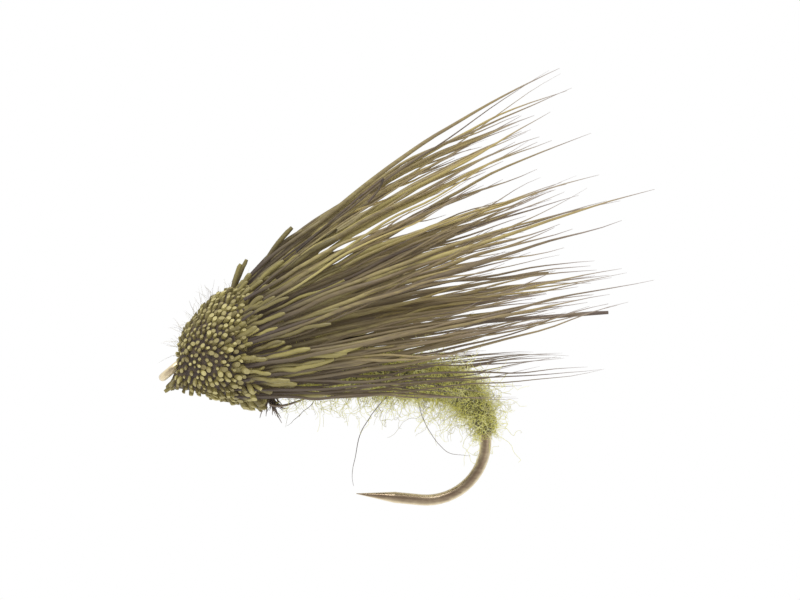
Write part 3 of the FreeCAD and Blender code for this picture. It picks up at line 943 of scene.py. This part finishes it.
# ---- Collar ------------
# The butts of the last spun bunch, cut at all lengths and left to lean back over the wing's root.
# They are thick, flare towards the cut, and show a pale hollow end.
COLLAR_HAIRS = 135                  # a side
COLLAR_LOWEST = 150                 # degrees round from the top
COLLAR_FRONT = 0.62                 # of the head's length, where the first of them leave it
COLLAR_HAIR = finish(
    "collar_hair", lambda tree: cut_hair(tree, pale_by=0.60), Specular_IOR_Level=0.4,
    Emission_Strength=1.0)


def collar_hairs(rng, side):
    """Cut hairs over half the wing's root, shorter and steeper the further forward they leave."""
    hairs = []
    for k in range(COLLAR_HAIRS):
        roll = side * math.radians(COLLAR_LOWEST) * (k + rng.random()) / COLLAR_HAIRS
        back = rng.random() ** 0.7
        x = HEAD_FRONT_X + (COLLAR_FRONT + (1 - COLLAR_FRONT) * back) * HEAD_LENGTH
        base = head_skin(x, roll, rng.uniform(0.35, 0.9) * MM)
        above = max(0.0, math.cos(roll))
        below = max(0.0, -math.cos(roll))
        long_one = rng.random() ** 1.6
        length = (0.8 + 0.8 * back + 6.0 * long_one * back ** 2) * (1 - 0.6 * below) * MM
        steep = math.radians(28 - 22 * back) * (above - 0.7 * below) + rng.gauss(0, 0.10)
        wide = side * math.radians(32 - 24 * back) * abs(math.sin(roll)) + rng.gauss(0, 0.08)
        knee = base + hair_way(base, steep, wide) * KNEE_SHARE * length
        settled = max(0.0, 1 - length / (4 * MM))
        tip = knee + hair_way(base, steep * settled, wide * settled) * (1 - KNEE_SHARE) * length
        hairs.append(hair(
            rng, base, knee, tip, rng.uniform(0.085, 0.150) * MM, span=min(1.0, length / (7 * MM))))
    return hairs


for side, name in ((1, "right"), (-1, "left")):
    rows = collar_hairs(random.Random(90 + side), side)
    cut = swept.grow(
        f"collar_hair_{name}", seeds(name, rows), Steps=16, Sides=8, Taper_from=0.93, Tip=0.55,
        Waves=2.4, Root_thin=0.40, Material=COLLAR_HAIR)
    sprung(cut, f"collar_{name}", slot="cut_hair")

# Three butts missed by the scissors stand up behind the head, one of them long and curved.
missed = [
    lone((3.2, 0.1, 3.4), (4.1, 0.0, 6.3), (5.25, 0.0, 7.6), 0.125, 0.1, 0.1),
    lone((2.45, -0.2, 3.4), (2.6, -0.2, 4.7), (2.90, -0.25, 5.55), 0.115, 0.1, 0.6),
    lone((2.5, 0.1, 3.6), (2.75, 0.1, 4.7), (3.15, 0.1, 5.80), 0.105, 0.1, 0.25),
]
sprung(swept.grow(
    "missed_butts", seeds("missed", missed), Steps=12, Sides=8, Taper_from=0.96, Tip=0.75,
    Material=CUT_HAIR), slot="cut_hair")

# ---- Throat tuft and stray fibres ------------
# Dark waxed trimmings are caught under the wing's tie-in and fan out below it, and one pale hair runs
# back from them. Long fibres and cream curls have worked loose from the dubbing, and down from the
# deer's skin still clings to the head.


def waxed_hair(tree):
    shade = tree.attribute("shade")
    return {
        "Base_Color": tree.mix(shade, (0.050, 0.036, 0.036), (0.20, 0.15, 0.11)),
        "Roughness": 0.4 + 0.2 * shade,
    }


def loose(rng, root, way, length, thick, bend=0.3, span=0.2, shade=None):
    """A loose fibre that leaves root along way and curls as it goes."""
    turned = Vector([rng.gauss(0, bend) for axis in range(3)])
    knee = root + way * length * 0.5
    tip = root + (way + turned) * length
    return hair(rng, root, knee, tip, thick, span=span, shade=shade)


TUFT_ROOT = Vector((4.92 * MM, 0, -0.84 * MM))
TUFT_HAIRS = 40
rng = random.Random(33)
fan = []
for k in range(TUFT_HAIRS):
    way = Vector((rng.gauss(0.28, 0.42), rng.gauss(0, 0.38), -1)).normalized()
    start = TUFT_ROOT + Vector((rng.gauss(0, 0.09), rng.gauss(0, 0.09), rng.uniform(-0.2, 0.3))) * MM
    fan.append(loose(rng, start, way, rng.uniform(0.45, 1.05) * MM, rng.uniform(0.018, 0.045) * MM))
fan.append(lone((5.0, -0.3, -1.3), (5.7, -0.4, -1.5), (7.0, -0.5, -0.66), 0.065, 0.1, 1.0))
tuft = swept.grow(
    "throat_tuft_hairs", seeds("tuft", fan), Steps=8, Sides=5, Taper_from=0.3, Tip=0.3,
    Material=finish("waxed_hair", waxed_hair))
still(tuft, "waxed_trimmings", "throat_tuft")

strays = [
    lone((11.3, -0.4, 0.1), (8.9, -0.7, -1.9), (9.6, -0.9, -4.9), 0.020, 0.3, 0.3),
    lone((12.3, -0.5, -0.2), (13.2, -1.0, -3.2), (15.2, -1.2, -2.9), 0.016, 0.3, 0.5),
    lone((7.6, -0.4, 0.0), (7.0, -0.8, -1.6), (5.9, -0.9, -2.2), 0.016, 0.3, 0.6),
]
stray = swept.grow(
    "stray_fibres", seeds("stray", strays), Steps=30, Sides=5, Taper_from=0.6, Tip=0.4,
    Material=finish("loose_fibre", waxed_hair))
still(stray, "olive_dubbing")

CREAM_CURLS = 26
curls_of_cream = []
for k in range(CREAM_CURLS):
    centre, outward = hook_line(BEND_X - BODY_FRONT_X + rng.uniform(-0.3, 2.0) * MM)
    start = centre + outward * 0.72 * MM + Vector((0, rng.uniform(-0.6, 0.1) * MM, 0))
    way = Vector((0.9, rng.gauss(-0.15, 0.3), rng.gauss(0.35, 0.35))).normalized()
    curls_of_cream.append(loose(
        rng, start, way, rng.uniform(0.8, 1.9) * MM, rng.uniform(0.010, 0.018) * MM, bend=0.4, span=1.0,
        shade=rng.uniform(0.85, 1.0)))
cream = swept.grow(
    "cream_curls", seeds("cream", curls_of_cream), Steps=24, Sides=4, Taper_from=0.5, Tip=0.5, Waves=5.0,
    Lock_sway=0.0, Hair_sway=1.3 * MM, Material=DUBBING_FIBRE)
still(cream, "olive_dubbing")

DOWN_HAIRS = 170
HEAD_MIDDLE = Vector((2.4 * MM, 0, SHANK_Z))
down = []
for k in range(DOWN_HAIRS):
    roll = math.radians(rng.uniform(-95, 95))
    start = head_skin(HEAD_FRONT_X + rng.random() * HEAD_LENGTH, roll, 0.1 * MM)
    way = (start - HEAD_MIDDLE).normalized()
    down.append(loose(rng, start, way, rng.uniform(0.35, 0.95) * MM, 0.0055 * MM, bend=0.35))
fuzz = swept.grow(
    "skin_down", seeds("down", down), Steps=8, Sides=3, Taper_from=0.4, Tip=0.4, Material=DEER_HAIR)
still(fuzz, "cut_hair")

# ---- Stage ------------
# A plain pale floor well below the fly, a white surround and soft studio lights.
FLOOR_HALF = 300 * MM
FLOOR_Z = -40 * MM
SQUARE = ((-1, -1), (1, -1), (1, 1), (-1, 1))
floor_corners = [(x * FLOOR_HALF, y * FLOOR_HALF, FLOOR_Z) for x, y in SQUARE]
floor_mesh = plain_mesh("floor", floor_corners, [(0, 1, 2, 3)])


def pale_floor(tree):
    cloud = tree.noise(6.0, 2.0)
    return {"Base_Color": tree.mix(cloud, (0.90, 0.90, 0.90), (0.92, 0.92, 0.92))}


floor = placed("floor", floor_mesh, finish("pale_floor", pale_floor, Roughness=0.9))

AMBIENT = 0.72                      # of the surround's white falls on the fly as light
world = bpy.data.worlds.new("surround")
bpy.context.scene.world = world
world.use_nodes = True
sky = Tree(world.node_tree)
seen = sky.node("ShaderNodeLightPath", output="Is Camera Ray")
surround = sky.nodes["Background"]
surround.inputs["Color"].default_value = (1.0, 1.0, 1.0, 1.0)
sky.links.new((seen * (1 - AMBIENT) + AMBIENT).socket, surround.inputs["Strength"])


def lamp(name, place, size, radiance, colour=(1.0, 1.0, 1.0)):
    """A square soft box that faces the fly."""
    light = bpy.data.lights.new(name, "AREA")
    light.size = size
    light.energy = radiance * math.pi * size * size
    light.color = colour
    box = bpy.data.objects.new(name, light)
    bpy.context.scene.collection.objects.link(box)
    box.location = place
    box.rotation_euler = (LOOK - Vector(place)).to_track_quat("-Z", "Y").to_euler()


TILT = math.radians(5.5)            # the camera is rolled, so that the shank climbs to the right
VIEW_WIDTH = 40 * MM
LOOK = Vector((10.97, 0, 4.52)) * MM
DISTANCE = 0.36
SENSOR = 36.0                       # mm
lamp("key", (-0.10, -0.20, 0.36), 0.20, 9.0)
lamp("fill", (0.25, -0.35, 0.10), 0.30, 1.2)

camera_data = bpy.data.cameras.new("camera")
camera_data.sensor_width = SENSOR
camera_data.lens = SENSOR * DISTANCE / VIEW_WIDTH
camera_data.clip_start = 0.01
camera_data.clip_end = 10.0
camera = bpy.data.objects.new("camera", camera_data)
bpy.context.scene.collection.objects.link(camera)
right = Vector((math.cos(TILT), 0, math.sin(TILT)))
upward = Vector((-math.sin(TILT), 0, math.cos(TILT)))
backward = right.cross(upward)
turned = Matrix((right, upward, backward)).transposed().to_4x4()
camera.matrix_world = Matrix.Translation(LOOK + backward * DISTANCE) @ turned
bpy.context.scene.camera = camera
bpy.context.scene.view_settings.view_transform = "Standard"


def corners(bounds):
    return [list(corner) for corner in bounds]
